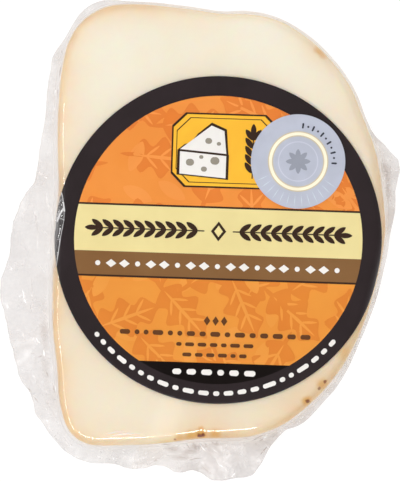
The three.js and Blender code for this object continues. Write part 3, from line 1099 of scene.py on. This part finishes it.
# In mm, both ends from the middle, the width, the strength, which is above 0 for a painted highlight
# and below 0 for painted shade, and any bow to one side.
PAINTED_CREASES = [
    (-4.4, -47.1, -2.7, -49.7, 0.55, 0.9, -0.35), (-1.6, -48.5, 0.3, -49.9, 0.4, 0.7, -0.3),
    (0.3, -47.8, 0.8, -49.7, 0.25, 0.35, 0.2), (-1.8, -50.1, 0.1, -52.2, 0.3, 0.4, 0.15),
    (-0.4, -51.8, 0.3, -52.9, 0.6, 0.95), (0.1, -52.7, 1.3, -53.4, 0.5, 0.9),
    (3.1, -55.8, 4.1, -54.6, 0.6, 0.9), (1.5, -55.5, 2, -56, 0.5, 0.6), (5, -52.2, 5.5, -53.6, 0.3, 0.35),
    (5.9, -52, 6.4, -53.6, 0.3, 0.35), (6.9, -52.5, 7.4, -53.9, 0.3, 0.35),
    (1.3, -49.4, 1.7, -49.2, 0.35, 0.6), (2, -49, 2.4, -49.2, 0.3, 0.5),
    (4.3, -51.8, 4.3, -52.2, 0.3, 0.6), (-7.4, -47.1, -6.5, -49, 0.25, 0.45, -0.4),
    (-4.1, -52, -3.4, -52.7, 0.4, 0.5), (9.2, -47.3, 9.7, -46.8, 0.3, 0.5),
    (10.4, -46.6, 11.6, -46.1, 0.45, 0.8), (8.8, -52, 10.2, -52.2, 0.35, 0.5, 0.2),
    (4.3, -47.8, 4.8, -47.5, 0.35, 0.5), (-9.5, -52.2, -9.3, -53.9, 0.35, 0.3),
    (-28.8, -50.6, -27.4, -51.3, 0.4, 0.5), (-25, -50.8, -24.3, -51.8, 0.5, 0.8),
    (-20.8, -50.6, -19.4, -52, 0.6, 0.4), (-15.7, -51.3, -14.7, -50.8, 0.45, 0.7),
    (-17.3, -50.4, -16.6, -49.7, 0.3, 0.5), (-33.3, -50.8, -32.6, -51.1, 0.4, 0.8),
    (-36.1, -46.6, -34.7, -48.5, 0.4, 0.35), (-40.5, -42.1, -39.8, -42.8, 0.6, 0.9),
    (-40.1, -43.3, -39.6, -45.2, 0.3, 0.5, 0.2), (-39.4, -45.4, -39.1, -45.7, 0.4, 0.7),
    (-38.2, -40.3, -38, -41.4, 0.35, 0.4), (-38.2, -33.9, -38, -35.6, 0.5, 0.9),
    (-37.3, -34.2, -37.5, -35.6, 0.4, 0.8), (-38, -36.3, -37.7, -37.2, 0.35, 0.3),
    (-43.8, -31.6, -42.9, -32.5, 0.4, 0.4), (-41.2, -30.4, -40.8, -31.3, 0.4, 0.8),
    (-41, -25.7, -40.8, -27.4, 0.65, 1), (-42.9, -22.7, -41.5, -24.3, 0.5, 0.95, -0.25),
    (-39.4, -21.2, -38.4, -23.1, 0.5, 0.6), (-42.7, -17, -39.6, -20.3, 0.22, 0.35),
    (-41.5, -16.8, -38.7, -19.8, 0.22, 0.35), (-42.7, -18.4, -40.5, -20.8, 0.2, 0.3),
    (-46.4, -21.5, -45.2, -23.1, 0.4, 0.35), (-46.2, -11.6, -45.7, -14, 0.5, 0.8, 0.3),
    (-45.7, -13.7, -45, -14.9, 0.55, 0.95), (-49.7, -14.9, -49.2, -16.3, 0.5, 0.8),
    (-43.8, -12.3, -43.6, -13.5, 0.35, 0.4), (-38.7, -11.9, -38.4, -18.4, 0.3, 0.5),
    (-40.8, 14.9, -40.1, 14.4, 0.6, 1), (-42.4, 16.1, -41, 15.1, 0.3, 0.35),
    (-40.3, 11.6, -38.9, 6, 0.35, 0.5, -0.5), (-38.9, 6.5, -38.7, 3.6, 0.35, 0.6),
    (-41.5, 2.7, -39.8, 0.6, 0.25, 0.4), (-42.4, 1.3, -42.4, -2.5, 0.25, 0.3),
    (-48.8, -6.5, -48.3, -6.9, 0.6, 0.9), (-44.5, -6, -44.1, -6.5, 0.6, 0.8),
    (-42.2, -6, -41.7, -6.5, 0.35, 0.6), (-40.1, -2.7, -39.6, -3.2, 0.6, 0.7),
    (-41.7, -5.8, -40.3, -7.9, 0.25, 0.4), (-40.5, -5.5, -40.1, -7.4, 0.22, 0.3),
    (-43.1, 7.2, -42.9, 6.7, 0.25, 0.4), (-38.2, 35.6, -38.2, 33.5, 0.9, 0.6),
    (-37.3, 36.5, -37.5, 34.6, 0.35, 0.5), (-38.7, 31.8, -38.2, 29.9, 0.4, 0.5),
    (-35.8, 45.4, -35.1, 46.8, 0.35, 0.4), (-31.4, 52.9, -29.5, 54.6, 0.9, 0.3),
    (40.5, 16.6, 40.7, 16.1, 0.45, 0.8), (38.6, 14.2, 38.8, 13.7, 0.45, 0.8),
    (38.8, 10.4, 39.1, 10, 0.5, 0.8), (40, 12.6, 40.7, 11.6, 0.35, 0.5),
    (37.9, 16.8, 38.3, 15.8, 0.35, 0.5), (39.5, 8.1, 40, 6.9, 0.35, 0.5),
    (-7.4, -47.8, -6.7, -49, 0.3, -0.5), (7.6, -47.3, 11.3, -45.4, 0.3, -0.5),
    (9.5, -47.3, 10.9, -46.4, 0.3, -0.45), (4.8, -46.4, 6.9, -46.6, 0.3, -0.4),
    (9.7, -50.6, 11.8, -48.2, 0.4, -0.4), (-7, -51.8, -3.9, -51.3, 0.4, -0.3, 0.2),
    (-3.4, -47.3, -1.8, -49.9, 0.8, -0.2), (-6, -47.3, -5.1, -49.4, 1.2, -0.2),
    (-1.8, -47.1, 0.3, -48.2, 1.2, -0.3), (-4.1, -52.7, -0.9, -55.1, 0.5, -0.2, -0.3),
    (-42.4, -27.6, -41.2, -27.1, 0.5, -0.3), (-40.5, -30.6, -39.8, -32.3, 0.4, -0.35),
    (-38.9, -33.5, -38.4, -35.8, 0.4, -0.35), (-45, -34.6, -43.8, -35.6, 0.35, -0.35),
    (-43.4, -36.7, -42.2, -38.2, 0.35, -0.35), (-36.8, 41.2, -37.3, 37.9, 0.35, -0.35),
    (-37.7, 35.6, -37.5, 33.2, 0.3, -0.4), (-36.8, 44.5, -36.3, 43.1, 0.4, -0.3),
    (-44.1, -15.1, -43.8, -17, 0.4, -0.2), (-43.8, -8.3, -43.6, -14.2, 0.3, -0.15),
    (-43.1, 6.9, -42.2, 1.1, 0.5, -0.12), (-15.4, -52, -14, -51.3, 0.5, -0.25),
    (-13.5, -48, -10.7, -47.8, 0.35, -0.3), (-9.3, -47.1, -7, -47.3, 0.35, -0.3),
    (-26.8, -45.4, -21.6, -44.4, 0.22, 0.45, 0.1), (-25.8, -45.8, -17.9, -45.1, 0.3, 0.55, 0.2),
    (-13.5, -48.7, -7.5, -49.6, 2, -0.3), (-10, -50, -3.6, -49.3, 2.4, -0.34),
    (-7.5, -48.4, -2.4, -48.6, 1.6, -0.3), (-12.5, -50.9, -5.5, -51.1, 1.8, -0.24),
    (-41.2, -16.5, -40.4, -27.5, 2.4, -0.16), (-41, -24.5, -40, -36.5, 2.6, -0.16),
    (38.4, 19.6, 40.4, 12.8, 2.8, -0.26), (39.6, 16.2, 40, 8.2, 2.2, -0.24),
]
PAINTED_SPARKLES = 420
PAINTED_SPARKLE_SIDES = [(-55, -14, 0.5), (14, 32, 0.12), (-80, -62, 0.15), (195, 262, 0.15)]


def painted_crease_material(name, colour):
    material, tree = new_material(name)
    fold = node(tree, "BsdfDiffuse", {"Color": (*colour, 1)})
    seen = {0: attribute(tree, "strength"), 1: node(tree, "BsdfTransparent"), 2: fold}
    surface(tree, node(tree, "MixShader", seen))
    return material


def crease(bm, layer, x, y, end_x, end_y, width, strength, bow=0.0):
    """A sliver between two places on the film."""
    start, end = Vector((x, y, 0)), Vector((end_x, end_y, 0))
    across = Vector((y - end_y, end_x - x, 0)).normalized()
    steps = max(4, round((end - start).length / 0.35))
    rows = 2 * max(1, round(width))
    made = bmesh.ops.create_grid(bm, x_segments=steps, y_segments=rows, size=0.5)["verts"]
    for v in made:
        share, side = v.co.x + 0.5, 2 * v.co.y
        swell = max(0.1, math.sin(math.pi * share))
        v.co = start + (end - start) * share + across * (side * width / 2 * swell**0.7 + bow * swell)
        v.co = middle + v.co * MM
        v.co.z = 0
        fade = swell ** (0.5 if width < 1.5 else 1.5)  # broad folds fade sooner
        v[layer] = abs(strength) * fade * (1 - 0.9 * abs(side))


def painted_sparkles():
    """Small scattered creases in the finely crumpled parts of the margin: mostly painted highlights, a few
    painted shade.
    """
    draw = random.Random(5)
    found = []
    for low, high, share in PAINTED_SPARKLE_SIDES:
        for _ in range(round(PAINTED_SPARKLES * share)):
            turn = math.radians(draw.uniform(low, high))
            wall, edge = read_round(wall_reach, turn) / MM, read_round(edge_reach, turn) / MM
            place = outward(turn) * (wall + 0.3 + (edge - wall - 0.4) * draw.random())
            away = outward(draw.uniform(0, math.pi)) * draw.uniform(0.15, 0.5)
            strength = draw.choice((0.8, 0.6, 0.4, 0.3, -0.2))
            ends = (*(place - away).xy, *(place + away).xy)
            found.append((*ends, draw.uniform(0.2, 0.35), strength, draw.uniform(-0.1, 0.1)))
    return found


# painted highlights and painted shade laid on the film's folds
painted_highlight_fold = painted_crease_material("painted highlight fold", (0.97, 0.965, 0.965))
painted_shade_fold = painted_crease_material("painted shade fold", (0.5, 0.43, 0.39))
everywhere = PAINTED_CREASES + painted_sparkles()
for name, material, wanted in (("bright", painted_highlight_fold, 1), ("dull", painted_shade_fold, -1)):
    bm = bmesh.new()
    [strength_layer] = new_layers(bm, "strength")
    for row in everywhere:
        if row[5] * wanted > 0:
            crease(bm, strength_layer, *row)
    drape(bm, film_tree, 0.03 * MM)
    heights = {face: [v.co.z for v in face.verts] for face in bm.faces}
    hanging = [face for face, drop in heights.items() if max(drop) - min(drop) > STEEP]
    bmesh.ops.delete(bm, geom=hanging, context="FACES")
    thicken(bm, 0.02 * MM)
    creases = piece_from(f"film_painted_creases_{name}", bm, material)
    creases.data.shade_flat()
    creases.visible_shadow = False
    declare(creases, "film")

# --- Studio ------------------------------------------------------------------------------------
# A pale, faintly glowing table, two soft strips and a wide fill that light surfaces and aren't
# mirrored, and two narrow strips that are only mirrored, in a line along the left and lower rims.

VIEW_MIDDLE = middle + Vector((-4.26 * MM, -0.23 * MM, 0))
VIEW_HEIGHT = 112.3 * MM  # what the frame's height takes in at the label
CAMERA_DISTANCE = 2.0
LIGHT_LEAN = math.radians(32)
GLINT_LEAN = math.radians(54)
LIGHT_DISTANCE, GLINT_DISTANCE = 1.4, 1.2

floor_material, tree = new_material("pale floor")
table = {
    "Base Color": (0.15, 0.15, 0.15, 1),
    "Roughness": 0.8,
    "Emission Color": (1, 1, 1, 1),
    "Emission Strength": 0.9,  # a light table's glow
}
surface(tree, node(tree, "BsdfPrincipled", table))
bm = bmesh.new()
bmesh.ops.create_grid(bm, x_segments=1, y_segments=1, size=4)
floor = piece_from("floor", bm, floor_material)

camera = in_scene("camera", bpy.data.cameras.new("camera"))
camera.location = VIEW_MIDDLE + Vector((0, 0, label_high.z + CAMERA_DISTANCE))
camera.data.sensor_width = 36
camera.data.lens = camera.data.sensor_width * CAMERA_DISTANCE / VIEW_HEIGHT
camera.data.clip_end = 20
bpy.context.scene.camera = camera


def area_light(name, place, turn, width, depth, power, lights=True, mirrored=True):
    """A soft rectangular light. Unturned, it shines straight down."""
    light = bpy.data.lights.new(name, "AREA")
    light.shape = "RECTANGLE"
    light.size, light.size_y = width, depth
    light.energy = power
    lamp = in_scene(name, light)
    lamp.location = place
    lamp.rotation_euler = turn
    lamp.visible_camera = False
    lamp.visible_diffuse = lights
    lamp.visible_glossy = mirrored


def leaning(distance, lean):
    """How far aside and how high a light stands that leans towards the object."""
    return distance * math.sin(lean), distance * math.cos(lean)


aside, above = leaning(LIGHT_DISTANCE, LIGHT_LEAN)
area_light("left strip", (-aside, -0.2, above), (0, -LIGHT_LEAN, 0), 0.2, 1.1, 5.25, mirrored=False)
area_light("lower strip", (-0.1, -aside, above), (LIGHT_LEAN, 0, 0), 1.1, 0.2, 5.25, mirrored=False)
area_light("fill", (0.1, 0.7, 1.3), (math.radians(-27), math.radians(4), 0), 1.6, 1.6, 11.6, mirrored=False)
aside, above = leaning(GLINT_DISTANCE, GLINT_LEAN)
area_light("left glint", (-aside, -0.36, above), (0, -GLINT_LEAN, 0), 0.07, 0.92, 3.6, lights=False)
aside, above = leaning(GLINT_DISTANCE, LIGHT_LEAN)
area_light("lower glint", (-0.2, -aside, above), (LIGHT_LEAN, 0, 0), 0.7, 0.13, 6.3, lights=False)

# the walls of the studio are brighter than its ceiling
world = bpy.data.worlds.new("studio")
world.use_nodes = True
tree = world.node_tree
height = node(tree, "SeparateXYZ", {0: node(tree, "TexCoord", result="Generated")}, "Z")
background = tree.nodes["Background"]
tree.links.new(ramp(tree, height, 0.1, 0.9, 0.6, 0.24), background.inputs["Strength"])
background.inputs["Color"].default_value = (1, 1, 1, 1)
bpy.context.scene.world = world
bpy.context.scene.view_settings.view_transform = "Standard"
bpy.context.scene.cycles.transparent_max_bounces = 24
